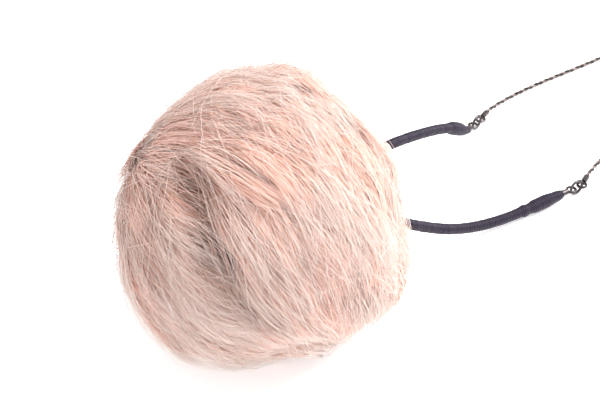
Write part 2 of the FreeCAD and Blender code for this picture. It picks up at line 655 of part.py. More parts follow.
def neck_rope(side):
    """Rope in two lengths with room to flex between them, and the ferrule that holds its eye."""
    curve = side.rope_curve()
    half_gap = size("bend_gap") / 2
    ferrule_end = size("ferrule_length")
    eye = Part.makeTorus(size("eye_radius"), size("eye_wire"), side.rope_eye, Vector(0, 0, 1))
    tube = round_rod(curve, curve.FirstParameter, at_distance(curve, ferrule_end), size("ferrule_radius"))
    fixed_shape(f"{side.name}_rope_ferrule", tube.fuse(eye))
    bend = curve.parameter(curve.value(at_distance(curve, side.bend_at)))
    front_end = curve.parameterAtDistance(-half_gap, bend)
    rear_start = curve.parameterAtDistance(half_gap, bend)
    front_start = at_distance(curve, ferrule_end + size("part_gap"))
    fixed_shape(f"{side.name}_rope_front",
                round_rod(curve, front_start, front_end, size("rope_radius")))
    fixed_shape(f"{side.name}_rope_back",
                round_rod(curve, rear_start, curve.LastParameter, size("rope_radius")))
    side.bend = curve.value(bend)


def clasp_half(side):
    """Cup-shaped sleeve of the breakaway clasp, with the magnet set in its mouth."""
    y0 = side.side * size("clasp_gap")
    out = Vector(0, side.side, 0)
    height = size("clasp_radius") + size("clasp_lift")
    mouth = Vector(size("clasp_reach"), y0, height)
    sleeve = Part.makeCylinder(size("clasp_radius"), size("clasp_length"), mouth, out)
    back_edge = [e for e in sleeve.Edges if abs(e.CenterOfMass.y - (y0 + out.y * size("clasp_length"))) < 0.01
                 and isinstance(e.Curve, Part.Circle)]
    sleeve = sleeve.makeFillet(size("clasp_rounding"), back_edge)
    seat = Part.makeCylinder(size("magnet_radius") + size("magnet_play"),
                             size("magnet_length") + size("magnet_bed"), mouth, out)
    back = mouth + out * size("clasp_length")
    entry = Part.makeCylinder(size("rope_bore"), size("rope_depth") + size("entry_play"), back, out * -1)
    fixed_shape(f"{side.name}_clasp_sleeve", sleeve.cut(seat).cut(entry))
    magnet = Part.makeCylinder(size("magnet_radius"), size("magnet_length"), mouth, out)
    fixed_shape(f"{side.name}_clasp_magnet", magnet)


def arm_pins():
    pins = []
    for number, side in enumerate(("pin_side", "-pin_side")):
        top = "lug_high + part_gap + pin_head_thick"
        shaft = cylinder_z(f"pin_shaft_{number}", "pin_radius", f"-({top})", top, x="pin_reach", y=side)
        ends = [("lug_high + part_gap", top), (f"-({top})", "-lug_high - part_gap")]
        heads = [cylinder_z(f"pin_head_{number}_{end}", "pin_head", low, high, x="pin_reach", y=side)
                 for end, (low, high) in enumerate(ends)]
        pins.append(fuse(f"arm_pin_{number}", shaft, *heads))
    in_pod(group("arm_pins", *pins), "arm_pins")


LEFT = Side("left", 1, ring=(112.2, 22.8), droop=0.1,
            arm_heights=[(0.2, 26.1), (0.42, 22.4), (0.62, 17.0), (0.8, 11.2), (0.92, 5.0)],
            rope_points=[(126.0, 27.4, 0.9), (146.0, 26.5, 0.8), (172.0, 22.0, 0.8), (200.0, 20.0, 0.8),
                         (220.0, 20.0, 0.8), (231.0, 14.0, 2.4)],
            bend_at=58.0)
RIGHT = Side("right", -1, ring=(109.2, -21.0), droop=0.5,
             arm_heights=[(0.14, 21.4), (0.3, 12.6), (0.48, 5.5), (0.67, 2.6), (0.84, 2.6)],
             rope_points=[(124.0, -16.0, 0.9), (145.0, -12.6, 0.8), (172.0, -14.5, 0.8), (201.0, -19.0, 0.8),
                          (220.0, -20.0, 0.8), (231.0, -14.0, 2.4)],
             bend_at=60.0)


def write_parts():
    doc.recompute()
    for thing in doc.Objects:
        if {"Invalid", "Error"} & set(thing.State):
            raise SystemExit(f"{thing.Label} failed to build: {thing.State}")
    for piece in pieces:
        shape = piece.Shape
        if shape.isNull() or not shape.isValid() or not shape.Solids:
            raise SystemExit(f"{piece.Label} is not a valid solid")
    os.makedirs("parts", exist_ok=True)
    for piece in pieces:
        piece.Shape.exportStep(f"parts/{piece.Label}.step")
    print(len(pieces), "pieces written")


half_shell("upper_shell", True)
half_shell("lower_shell", False)
end_cap()
shell_screws()
seam_gasket()
circuit_board()
battery()
charging_port()
board_components()
power_button()
capsule()
arm_pins()
windshield()
for cord_side in (LEFT, RIGHT):
    cord_arm(cord_side)
    link_ring(cord_side)
    neck_rope(cord_side)
    clasp_half(cord_side)
write_parts()
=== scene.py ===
"""Looks of a fur-covered lavalier microphone on a whipped neck cord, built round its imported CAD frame."""
import json
import math
import bpy
import numpy as np
from mathutils import Matrix, Vector, kdtree


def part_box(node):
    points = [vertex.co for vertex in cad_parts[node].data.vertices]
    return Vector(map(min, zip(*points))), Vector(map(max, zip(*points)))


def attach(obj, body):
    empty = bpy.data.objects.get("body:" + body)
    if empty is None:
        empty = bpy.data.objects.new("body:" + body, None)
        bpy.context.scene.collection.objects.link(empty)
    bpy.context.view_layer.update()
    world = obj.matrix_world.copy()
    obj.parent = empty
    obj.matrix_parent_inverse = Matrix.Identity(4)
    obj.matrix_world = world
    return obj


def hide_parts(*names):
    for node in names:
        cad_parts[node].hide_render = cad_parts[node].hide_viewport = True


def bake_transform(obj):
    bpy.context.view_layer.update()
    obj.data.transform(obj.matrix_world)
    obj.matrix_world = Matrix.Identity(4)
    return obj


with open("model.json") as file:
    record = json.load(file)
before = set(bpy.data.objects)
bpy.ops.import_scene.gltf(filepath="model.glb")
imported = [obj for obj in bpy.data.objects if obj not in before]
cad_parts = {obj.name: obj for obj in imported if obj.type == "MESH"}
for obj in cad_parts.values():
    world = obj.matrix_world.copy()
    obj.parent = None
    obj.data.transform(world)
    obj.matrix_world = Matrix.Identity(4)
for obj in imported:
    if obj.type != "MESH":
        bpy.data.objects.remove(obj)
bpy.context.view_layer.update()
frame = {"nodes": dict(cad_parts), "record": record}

MM = 0.001
RECORD = frame["record"]
JOINTS = {joint["name"]: joint for joint in RECORD["behaviour"]["joints"]}

# ---- where things are, from the frame --------------------------------------------------------

PILE_LOW, PILE_HIGH = (np.array(corner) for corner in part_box("fur_pile"))
BALL_RADIUS = (PILE_HIGH[1] - PILE_LOW[1]) / 2
BALL_CENTRE = np.array([PILE_LOW[0] + BALL_RADIUS, (PILE_LOW[1] + PILE_HIGH[1]) / 2,
                        PILE_HIGH[2] - BALL_RADIUS])
TAIL = -np.array(JOINTS["windshield_slide"]["axis"])    # from the ball's centre to where the cord leaves it

# ---- camera ----------------------------------------------------------------------------------

VIEW_AZIMUTH, VIEW_ELEVATION = math.radians(-42), math.radians(38)
VIEW_DISTANCE = 450 * MM
LENS = 101.5
SENSOR_WIDTH = 36.0
NEAR_CLIP = 0.01
# Where the ball's centre sits, right and up of the middle of the frame, in frame widths.
BALL_SHIFT_RIGHT, BALL_SHIFT_UP = -0.05833, -0.00333


def view_axes(azimuth, elevation):
    """Unit vectors from the subject to the camera, to its right and up."""
    back = np.array([math.sin(azimuth) * math.cos(elevation), -math.cos(azimuth) * math.cos(elevation),
                     math.sin(elevation)])
    right = np.array([math.cos(azimuth), math.sin(azimuth), 0.0])
    return back, right, np.cross(back, right)


BACK, RIGHT, UP = view_axes(VIEW_AZIMUTH, VIEW_ELEVATION)


def unit(vectors):
    """The same directions with length one."""
    length = np.linalg.norm(vectors, axis=-1, keepdims=True)
    return vectors / np.maximum(length, 1e-12)


def seen(right, up, behind=False):
    """The point of the unit ball seen so far right and up of its middle, or the one behind it."""
    depth = math.sqrt(max(0.0, 1 - right * right - up * up))
    return unit(right * RIGHT + up * UP + (-depth if behind else depth) * BACK)


# ---- node materials --------------------------------------------------------------------------

def new_material(name):
    """A node material, with its nodes, its links and its shader."""
    material = bpy.data.materials.new(name)
    material.use_nodes = True
    nodes, links = material.node_tree.nodes, material.node_tree.links
    return material, nodes, links, nodes["Principled BSDF"]


def noise(nodes, links, scale, detail=4.0, stretch=(1, 1, 1)):
    """A noise texture in object space, in features per metre, optionally stretched."""
    place = nodes.new("ShaderNodeTexCoord")
    mapping = nodes.new("ShaderNodeMapping")
    mapping.inputs["Scale"].default_value = stretch
    texture = nodes.new("ShaderNodeTexNoise")
    texture.inputs["Scale"].default_value = scale
    texture.inputs["Detail"].default_value = detail
    links.new(place.outputs["Object"], mapping.inputs["Vector"])
    links.new(mapping.outputs["Vector"], texture.inputs["Vector"])
    return texture.outputs["Fac"]


def ramp(nodes, links, factor, stops):
    """A colour ramp; stops are (position, (r, g, b)) pairs."""
    node = nodes.new("ShaderNodeValToRGB")
    while len(node.color_ramp.elements) < len(stops):
        node.color_ramp.elements.new(0.5)
    for element, (position, colour) in zip(node.color_ramp.elements, stops):
        element.position = position
        element.color = (*colour, 1)
    links.new(factor, node.inputs["Fac"])
    return node.outputs["Color"]


def bump(nodes, links, height, strength, distance):
    """A normal that shows the given height as fine relief."""
    node = nodes.new("ShaderNodeBump")
    node.inputs["Strength"].default_value = strength
    node.inputs["Distance"].default_value = distance
    links.new(height, node.inputs["Height"])
    return node.outputs["Normal"]


GRAIN_STRENGTH = 0.5
WEAR_BREADTH = 12    # patches of wear are this many times as broad as the grain
POLISHED, DULLED = 0.08, 0.1    # how far roughness varies below and above its middle value
LOWEST_ROUGHNESS = 0.05


def grained(name, dark, light, roughness, metallic=0.0, scale=1500.0, depth=0.04 * MM, stretch=(1, 1, 1),
            coat=0.0):
    """A finish whose roughness and relief follow a fine grain, and whose colour follows broader wear."""
    material, nodes, links, shader = new_material(name)
    grain = noise(nodes, links, scale, stretch=stretch)
    wear = noise(nodes, links, scale / WEAR_BREADTH)
    links.new(ramp(nodes, links, wear, [(0.35, dark), (0.65, light)]), shader.inputs["Base Color"])
    rough = nodes.new("ShaderNodeMapRange")
    rough.inputs["To Min"].default_value = max(LOWEST_ROUGHNESS, roughness - POLISHED)
    rough.inputs["To Max"].default_value = roughness + DULLED
    links.new(grain, rough.inputs["Value"])
    links.new(rough.outputs["Result"], shader.inputs["Roughness"])
    links.new(bump(nodes, links, grain, GRAIN_STRENGTH, depth), shader.inputs["Normal"])
    shader.inputs["Metallic"].default_value = metallic
    shader.inputs["Coat Weight"].default_value = coat
    return material


def glass_like(name, colour):
    """Clear plastic with a faint frost."""
    material, nodes, links, shader = new_material(name)
    frost = noise(nodes, links, 4000)
    brighter = tuple(min(1, 1.1 * channel) for channel in colour)
    links.new(ramp(nodes, links, frost, [(0.3, colour), (0.7, brighter)]), shader.inputs["Base Color"])
    shader.inputs["Transmission Weight"].default_value = 0.7
    shader.inputs["Roughness"].default_value = 0.25
    return material


def knitted(name, dark, light):
    """Fine rows of loops, for the backing and the elastic."""
    material, nodes, links, shader = new_material(name)
    place = nodes.new("ShaderNodeTexCoord")
    waves = nodes.new("ShaderNodeTexWave")
    waves.inputs["Scale"].default_value = 700
    waves.inputs["Distortion"].default_value = 2.0
    waves.inputs["Detail Scale"].default_value = 3.0
    links.new(place.outputs["Object"], waves.inputs["Vector"])
    rows = waves.outputs["Fac"]
    links.new(ramp(nodes, links, rows, [(0.2, dark), (0.8, light)]), shader.inputs["Base Color"])
    links.new(bump(nodes, links, rows, 0.8, 0.2 * MM), shader.inputs["Normal"])
    shader.inputs["Roughness"].default_value = 0.9
    shader.inputs["Sheen Weight"].default_value = 0.4
    return material


def pores(name, dark, light):
    """Open-cell foam: round pores, painted darker as shade in their hollows, over a soft body."""
    material, nodes, links, shader = new_material(name)
    place = nodes.new("ShaderNodeTexCoord")
    cells = nodes.new("ShaderNodeTexVoronoi")
    cells.inputs["Scale"].default_value = 1400
    links.new(place.outputs["Object"], cells.inputs["Vector"])
    # painted shade: the middle of each pore is painted darker than the foam round it
    links.new(ramp(nodes, links, cells.outputs["Distance"], [(0.1, dark), (0.5, light)]),
              shader.inputs["Base Color"])
    links.new(bump(nodes, links, cells.outputs["Distance"], 1.0, 0.3 * MM), shader.inputs["Normal"])
    shader.inputs["Roughness"].default_value = 0.95
    return material


# Painted shade: hair nearer the ball's centre than the first is fully painted in the shade colour, and
# further out than the second not at all.
PAINTED_SHADE_FROM, PAINTED_SHADE_TO = 30.5 * MM, 36.8 * MM


def hair_material(name, root, middle, tip, paler, painted_shade):
    """Colour runs from root to tip along V, U tells hairs apart, and hair deep in the pile is painted
    darker, as painted shade and partly as the darker colour near the roots.
    """
    material, nodes, links, shader = new_material(name)
    place = nodes.new("ShaderNodeUVMap")
    place.uv_map = "OFBake"
    split = nodes.new("ShaderNodeSeparateXYZ")
    links.new(place.outputs["UV"], split.inputs["Vector"])
    along = ramp(nodes, links, split.outputs["Y"], [(0.0, root), (0.45, middle), (0.9, tip)])
    pale_share = nodes.new("ShaderNodeMath")
    pale_share.operation = "MULTIPLY"
    links.new(split.outputs["X"], pale_share.inputs[0])
    links.new(split.outputs["Y"], pale_share.inputs[1])
    toned = mixed(nodes, links, pale_share.outputs["Value"], along, paler)
    where = nodes.new("ShaderNodeTexCoord")
    depth = nodes.new("ShaderNodeVectorMath")
    depth.operation = "DISTANCE"
    depth.inputs[1].default_value = tuple(BALL_CENTRE)
    links.new(where.outputs["Object"], depth.inputs[0])
    # painted shade: the deeper a hair lies in the pile, the more its colour is blended to the dark shade
    # colour
    painted_shade_share = nodes.new("ShaderNodeMapRange")
    painted_shade_share.inputs["From Min"].default_value = PAINTED_SHADE_FROM
    painted_shade_share.inputs["From Max"].default_value = PAINTED_SHADE_TO
    painted_shade_share.inputs["To Min"].default_value = 1.0
    painted_shade_share.inputs["To Max"].default_value = 0.0
    links.new(depth.outputs["Value"], painted_shade_share.inputs["Value"])
    colour = mixed(nodes, links, painted_shade_share.outputs["Result"], toned, painted_shade)
    links.new(colour, shader.inputs["Base Color"])
    shader.inputs["Roughness"].default_value = 0.6
    shader.inputs["Specular IOR Level"].default_value = 0.25
    shader.inputs["Sheen Weight"].default_value = 0.1
    return material


def mixed(nodes, links, share, colour, other):
    """A colour socket blended towards one fixed colour."""
    mix = nodes.new("ShaderNodeMix")
    mix.data_type = "RGBA"
    links.new(share, mix.inputs[0])
    links.new(colour, mix.inputs[6])
    mix.inputs[7].default_value = (*other, 1)
    return mix.outputs[2]


def dress(node, material):
    """Give a CAD node its finish."""
    mesh = frame["nodes"][node].data
    mesh.materials.clear()
    mesh.materials.append(material)


# ---- mesh helpers ----------------------------------------------------------------------------

def mesh_piece(name, points, faces, material, body=None, smooth=True):
    """A new object from points and equal-sided faces, riding on a body if one is named."""
    mesh = bpy.data.meshes.new(name)
    points = np.asarray(points, np.float32)
    faces = np.asarray(faces, np.int32)
    mesh.vertices.add(len(points))
    mesh.vertices.foreach_set("co", points.ravel())
    corners = faces.shape[1]
    mesh.loops.add(faces.size)
    mesh.loops.foreach_set("vertex_index", faces.ravel())
    mesh.polygons.add(len(faces))
    mesh.polygons.foreach_set("loop_start", np.arange(0, faces.size, corners, dtype=np.int32))
    mesh.polygons.foreach_set("use_smooth", np.full(len(faces), smooth))
    mesh.update(calc_edges=True)
    mesh.materials.append(material)
    piece = bpy.data.objects.new(name, mesh)
    bpy.context.collection.objects.link(piece)
    if body:
        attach(piece, body)
    return piece


def frames_along(path):
    """Tangent and two steady side vectors at each point of a path that doesn't start out upright."""
    tangent = unit(np.gradient(path, axis=0))
    side = np.zeros_like(path)
    side[0] = unit(np.cross(tangent[0], [0, 0, 1.0]))
    for i in range(1, len(path)):
        side[i] = unit(side[i - 1] - tangent[i] * np.dot(side[i - 1], tangent[i]))
    return tangent, side, np.cross(tangent, side)


def tube(path, radius, sides):
    """Rings of points round a path, and the quads between them.  The ends stay open."""
    _, side, other = frames_along(path)
    turn = np.arange(sides) * math.tau / sides
    radius = np.broadcast_to(np.asarray(radius, float), (len(path),))
    ring = (side[:, None] * np.cos(turn)[None, :, None] + other[:, None] * np.sin(turn)[None, :, None])
    points = path[:, None] + ring * radius[:, None, None]
    start = np.arange(len(path) - 1)[:, None] * sides
    here = np.arange(sides)[None]
    after = (here + 1) % sides
    beyond = start + sides
    faces = np.stack([start + here, start + after, beyond + after, beyond + here], -1)
    return points.reshape(-1, 3), faces.reshape(-1, 4)


def joined(parts):
    """Several (points, faces) pairs as one."""
    points, faces, offset = [], [], 0
    for own_points, own_faces in parts:
        points.append(own_points)
        faces.append(own_faces + offset)
        offset += len(own_points)
    return np.concatenate(points), np.concatenate(faces)


def node_mesh(node):
    """Points of a CAD node, and its edges as pairs of point numbers."""
    mesh = frame["nodes"][node].data
    points = np.zeros(len(mesh.vertices) * 3)
    mesh.vertices.foreach_get("co", points)
    edges = np.zeros(len(mesh.edges) * 2, int)
    mesh.edges.foreach_get("vertices", edges)
    return points.reshape(-1, 3), edges.reshape(-1, 2)


WALK_STEP = 0.6 * MM
END_DEPTH = 1.2 * MM    # points this near the bar's end count as its end face
HEADING_REACH = 8 * MM
HEADING_SLICES = 4    # the walk's direction is taken over this many slices
FEWEST_CROSSINGS = 5
MOST_SLICES = 2000


def centreline(node, start, reach=2.5 * MM):
    """Walk down a bent bar, slicing it across its own direction, and keep each slice's middle."""
    points, edges = node_mesh(node)
    first, last = points[edges[:, 0]], points[edges[:, 1]]
    distance = np.linalg.norm(points - start, axis=1)
    middle = points[distance < END_DEPTH + distance.min()].mean(0)
    heading = unit(points[np.linalg.norm(points - middle, axis=1) < HEADING_REACH].mean(0) - middle)
    path = []
    here = middle + heading * WALK_STEP / 3
    while len(path) <= MOST_SLICES:
        before, beyond = (first - here) @ heading, (last - here) @ heading
        crossing = before * beyond < 0
        share = before[crossing] / (before[crossing] - beyond[crossing])
        hit = first[crossing] + (last - first)[crossing] * share[:, None]
        hit = hit[np.linalg.norm(hit - here, axis=1) < reach]
        if len(hit) < FEWEST_CROSSINGS:
            break
        centre = (hit.min(0) + hit.max(0)) / 2
        path.append(centre)
        if len(path) > HEADING_SLICES:
            heading = unit(path[-1] - path[-1 - HEADING_SLICES])
        here = centre + heading * WALK_STEP
    return np.array(path)


def resampled(path, step):
    """The same path, smoothed a little, with points at even steps, and how far along it each point is."""
    padded = np.concatenate([path[:1], path, path[-1:]])
    path = (padded[:-2] + 2 * padded[1:-1] + padded[2:]) / 4
    length = np.concatenate([[0], np.cumsum(np.linalg.norm(np.diff(path, axis=0), axis=1))])
    places = np.linspace(0, length[-1], max(2, int(round(length[-1] / step)) + 1))
    return np.stack([np.interp(places, length, path[:, k]) for k in range(3)], -1), places


# ---- fur -------------------------------------------------------------------------------------
# The ball is groomed from a few combed guides.  Each says where it sits, right and up of the middle in ball
# radii, on the side near the viewer or behind; which way hair lies there, in degrees round from the viewer's
# right; how far hair stands up at its root; and how long it is, in millimetres.

NEAR, BEHIND = False, True
GUIDES = [
    (-0.40, 0.80, NEAR, -32, 0.20, 24), (0.00, 0.92, NEAR, -60, 0.70, 18),
    (0.40, 0.80, NEAR, -75, 0.70, 18), (-0.75, 0.45, NEAR, -20, 0.06, 26),
    (-0.40, 0.45, NEAR, -30, 0.24, 28), (-0.05, 0.50, NEAR, -46, 0.48, 25),
    (0.30, 0.45, NEAR, -68, 0.50, 24), (0.65, 0.50, NEAR, -72, 0.55, 21),
    (-0.90, 0.05, NEAR, -30, 0.12, 25), (-0.60, 0.10, NEAR, -32, 0.24, 26),
    (-0.25, 0.05, NEAR, -46, 0.42, 28), (0.10, 0.00, NEAR, -56, 0.40, 30),
    (0.45, 0.00, NEAR, -62, 0.42, 28), (0.80, 0.00, NEAR, -66, 0.46, 22),
    (-0.75, -0.40, NEAR, -38, 0.28, 24), (-0.40, -0.35, NEAR, -50, 0.46, 25),
    (0.00, -0.40, NEAR, -58, 0.45, 27), (0.40, -0.40, NEAR, -58, 0.45, 27),
    (0.75, -0.40, NEAR, -54, 0.48, 24), (-0.45, -0.80, NEAR, -36, 0.58, 21),
    (0.00, -0.92, NEAR, -48, 0.60, 20), (0.45, -0.80, NEAR, -58, 0.52, 21),
    (-0.60, 0.60, BEHIND, 170, 0.25, 24), (0.00, 0.70, BEHIND, 60, 0.60, 20),
    (0.60, 0.60, BEHIND, -60, 0.60, 20), (-0.70, 0.00, BEHIND, -170, 0.25, 24),
    (0.00, 0.00, BEHIND, -120, 0.60, 20), (0.75, 0.00, BEHIND, -70, 0.70, 17),
    (-0.50, -0.60, BEHIND, -150, 0.50, 20), (0.30, -0.70, BEHIND, -80, 0.60, 18),
]
# Swellings and hollows (negative) of the pile: right, up, height in millimetres, breadth in ball radii.
RELIEF = [
    (-0.72, -0.25, 1.0, 0.22), (-0.10, 0.05, 1.0, 0.30), (0.04, 0.66, -3.2, 0.09), (0.18, 0.50, -2.8, 0.08),
    (-0.50, 0.20, -2.0, 0.16), (-0.20, -0.10, 1.2, 0.16), (0.30, -0.05, 1.0, 0.20),
]
# Partings between masses of hair: depth in millimetres, breadth in ball radii, then points right and up.
PARTINGS = [
    (9.5, 0.110, [(-0.53, 0.24), (-0.47, 0.10), (-0.45, -0.01), (-0.37, -0.18), (-0.31, -0.29)]),
    (5.0, 0.070, [(-0.31, -0.29), (-0.20, -0.50), (-0.12, -0.64)]),
    (4.5, 0.060, [(-0.24, 0.32), (-0.10, 0.22), (0.05, 0.11)]),
    (3.6, 0.070, [(-0.16, 0.56), (0.02, 0.45), (0.16, 0.30)]),
    (3.0, 0.060, [(-0.62, 0.58), (-0.40, 0.50), (-0.30, 0.42)]),
    (3.6, 0.070, [(-0.80, -0.05), (-0.68, -0.30), (-0.58, -0.45)]),
    (2.6, 0.060, [(0.16, -0.10), (0.30, -0.36), (0.38, -0.55)]),
    (2.4, 0.060, [(0.46, 0.26), (0.56, 0.02), (0.60, -0.18)]),
]
# How far the coat stands out of, or falls inside, a true ball round its outline as the viewer sees it:
# degrees round from the viewer's right, and millimetres.
OUTLINE = [
    (-155, 5.2), (-140, 4.8), (-123, 3.6), (-104, 1.4), (-82, -2.8), (-64, -2.0), (-42, 0.0),
    (-27, 5.6), (-17, 4.0), (-8, -2.4), (0, -6.0), (16, -6.4), (48, -6.8), (72, -2.2),
    (83, 1.0), (97, -0.8), (109, 1.6), (122, -1.0), (145, -2.8), (160, -0.8), (180, 1.6),
]
OUTLINE_FADE = 1.5    # how steeply the outline's swell fades towards the viewer
PARTING_SAMPLES = 12
GUIDE_FOCUS = 26.0    # the higher, the less a guide reaches beyond its own place
TOWARD_VIEWER = 0.10    # how far hair turns away from the viewer for each step right
# Lengths in the fur are in millimetres from here on.
ROOT_RADIUS = 29.5
ROOT_SCATTER = 0.5
FLAT_LIFT = 0.45    # hair with less lift than this is rooted further out
FLAT_ROOT = 13.0    # by so much for each unit of missing lift
PILE_RADIUS = 39.0
PILE_ROLL = 1.1    # height of the broad ripples
TUFT_ROLL = 0.9    # height of the ripples between tufts
MOUTH_ANGLE = math.radians(27)    # half the cone round the tail where no hair grows



def along_surface(headings, places):
    """Headings with the part that points in or out of the ball taken away."""
    return unit(headings - places * (headings * places).sum(1, keepdims=True))


def guide_heading(right, behind, angle):
    """Which way a guide's hair lies, before it is laid on the ball."""
    flat = math.cos(math.radians(angle)) * RIGHT + math.sin(math.radians(angle)) * UP
    return flat - (0 if behind else TOWARD_VIEWER * right) * BACK


guide_places = np.array([seen(right, up, behind) for right, up, behind, *_ in GUIDES])
guide_headings = np.array([guide_heading(right, behind, angle) for right, _, behind, angle, _, _ in GUIDES])
guide_headings = along_surface(guide_headings, guide_places)
guide_lift = np.array([guide[4] for guide in GUIDES])
guide_length = np.array([guide[5] for guide in GUIDES], float)
relief_places = np.array([seen(right, up) for right, up, _, _ in RELIEF])
relief_heights = np.array([row[2] for row in RELIEF])
relief_breadths = np.array([row[3] for row in RELIEF])


def along_parting(points):
    """Even samples down a parting, as directions from the ball's centre."""
    right, up = np.array(points).T
    share = np.linspace(0, len(points) - 1, PARTING_SAMPLES)
    steps = np.arange(len(points))
    right = np.interp(share, steps, right)
    up = np.interp(share, steps, up)
    return np.array([seen(*sample) for sample in zip(right, up)])


partings = [(depth, breadth, along_parting(points)) for depth, breadth, points in PARTINGS]


def groom(places):
    """Lie direction, root lift and length at unit directions from the ball's centre."""
    weight = np.exp(GUIDE_FOCUS * (places @ guide_places.T - 1)) + 1e-9
    weight /= weight.sum(1, keepdims=True)
    lie = along_surface(weight @ guide_headings, places)
    return lie, weight @ guide_lift, weight @ guide_length


def ripples(places, waves):
    """Smooth random relief in about -1..1: a sum of plane waves over the ball."""
    total = np.zeros(len(places))
    for direction, phase in waves:
        total += np.sin(places @ direction + phase)
    return total / math.sqrt(len(waves))


def wave_set(rng, low, high, count):
    """Plane waves with random directions, pitches and phases."""
    waves = []
    for _ in range(count):
        direction = unit(rng.normal(size=3)) * rng.uniform(low, high)
        waves.append((direction, rng.uniform(0, math.tau)))
    return waves


SHAPE_RNG = np.random.default_rng(11)
BROAD_WAVES = wave_set(SHAPE_RNG, 4, 9, 10)
TUFT_WAVES = wave_set(SHAPE_RNG, 14, 30, 16)


def outline_swell(places):
    """The outline's departure from a true ball, fading away from the outline towards the viewer."""
    right, up = places @ RIGHT, places @ UP
    angle, swell = np.array(OUTLINE, float).T
    around = np.interp(np.degrees(np.arctan2(up, right)), angle, swell, period=360)
    return around * (right * right + up * up) ** OUTLINE_FADE


def pile_limit(places):
    """How far out hair lies in each direction: the ball with its relief, outline and partings."""
    distance = np.linalg.norm(places[:, None] - relief_places[None], axis=2)
    limit = PILE_RADIUS + (relief_heights * np.exp(-(distance / relief_breadths) ** 2)).sum(1)
    limit += outline_swell(places)
    for depth, breadth, samples in partings:
        nearest = np.sqrt(np.maximum(0, 2 - 2 * (places @ samples.T).max(1)))
        limit -= depth * np.exp(-(nearest / breadth) ** 2)
    return limit + PILE_ROLL * ripples(places, BROAD_WAVES) + TUFT_ROLL * ripples(places, TUFT_WAVES)


MOUTH_SPARES = 1.2    # enough directions are drawn that some can fall in the mouth


def scattered(rng, count):
    """Random directions all over the ball, outside the mouth round the tail."""
    places = unit(rng.normal(size=(int(count * MOUTH_SPARES), 3)))
    places = places[places @ TAIL < math.cos(MOUTH_ANGLE)]
    return places[:count]


ROOT_STAND = 1.6    # a hair's outward slope at its root, for each unit of lift
STAND_FADE = 1.1
SWAY = 0.6    # how far hairs curl sideways, for each unit of stray


def strands(rng, places, segments, stray, lift_gain=1.0, length_gain=1.0, rise=1.0, proud=0.15,
            root_depth=None):
    """Centrelines of hairs, from the ball's centre, as (hair, point, xyz).

    A hair grows from the backing, or from root_depth under the pile's surface, and is turned aside by about
    stray, an angle in radians.  Each hair's reach is up to rise above or below the pile's surface.  Of what
    would stand out further, a share called proud still does.
    """
    count = len(places)
    if root_depth is None:
        flat = np.maximum(0, FLAT_LIFT - groom(places)[1])
        root = ROOT_RADIUS + FLAT_ROOT * flat
    else:
        root = pile_limit(places) - root_depth
    point = places * (root[:, None] + rng.uniform(-ROOT_SCATTER, ROOT_SCATTER, (count, 1)))
    lean = rise * rng.uniform(-1, 1, count)
    angle = rng.normal(0, stray, count)
    pace = rng.uniform(0.75, 1.2, count) * length_gain
    sway = rng.normal(0, stray * SWAY, count)
    path = [point]
    for k in range(segments):
        share = (k + 0.5) / segments
        here = unit(point)
        lie, lift, length = groom(here)
        across = np.cross(here, lie)
        turn = angle + sway * share
        lie = lie * np.cos(turn)[:, None] + across * np.sin(turn)[:, None]
        stand = lift * lift_gain * (1 - share) ** STAND_FADE * ROOT_STAND
        heading = unit(lie + here * stand[:, None])
        point = point + heading * (length * pace / segments)[:, None]
        far = np.linalg.norm(point, axis=1)
        excess = np.maximum(0, far - pile_limit(unit(point)) - lean)
        point = point * ((far - (1 - proud) * excess) / far)[:, None]
        path.append(point)
    return np.stack(path, 1)


LOCK_PULL, LOCK_STAND = 1.4, 1.3    # how late along a hair its lock gathers it, and lifts it


def clumped(paths, rng, clumps, strength, uneven=0.0):
    """Gather hairs into locks: each leans to its lock's leader, more so towards the tip.

    Whole locks stand higher or lie lower by about uneven.  Also says which lock each hair is in.
    """
    leaders = rng.choice(len(paths), clumps, replace=False)
    tree = kdtree.KDTree(clumps)
    for number, leader in enumerate(leaders):
        tree.insert(Vector(paths[leader, 0]), number)
    tree.balance()
    lock = np.array([tree.find(Vector(root))[1] for root in paths[:, 0]])
    share = np.linspace(0, 1, paths.shape[1])[None, :, None]
    pull = strength * share ** LOCK_PULL * rng.uniform(0.5, 1.0, (len(paths), 1, 1))
    paths = paths + (paths[leaders[lock]] - paths) * pull
    stand = np.clip(rng.normal(0, uneven, clumps), -2 * uneven, 2 * uneven)[lock]
    return paths + unit(paths) * stand[:, None, None] * share ** LOCK_STAND, lock


ARM_CLEARANCE = 2.9    # from an arm's middle line
NEAR_TAIL = math.cos(math.radians(60))    # the arms lie within this cone round the tail
HAIR_SHARES = (0, 0.33, 0.67, 1.0)    # where each stretch of a hair is tried


def clear_of_arms(paths, arms, *others):
    """Leave out hairs that would run through an arm of the cord, and their rows in the other arrays."""
    tree = kdtree.KDTree(sum(len(arm) for arm in arms))
    for number, place in enumerate(np.concatenate(arms)):
        tree.insert(Vector(place), number)
    tree.balance()
    kept = np.ones(len(paths), bool)
    for hair in np.flatnonzero(unit(paths[:, -1]) @ TAIL > NEAR_TAIL):
        stretches = np.diff(paths[hair], axis=0)
        tried = np.concatenate([paths[hair, :-1] + stretches * share for share in HAIR_SHARES])
        kept[hair] = min(tree.find(Vector(place))[2] for place in tried) > ARM_CLEARANCE
    return (paths[kept], *(other[kept] for other in others))


LOWEST_POINT = 0.05 * MM


def kept_above_table(points):
    """Bring points that fall under the table up to it."""
    points[:, 2] = np.maximum(points[:, 2], LOWEST_POINT)
    return points


LOCK_SHARE = 0.6    # how far hairs of one lock share one tone
RIBBON_ROLL = 0.7
THINNEST = 0.06    # a hair's tip, as a share of its width
TONE_FROM, TONE_SPAN = 0.02, 0.93    # the stretch of the U axis that hairs lie in
TONE_BREADTH = 0.02
UV_MARGIN = 0.001


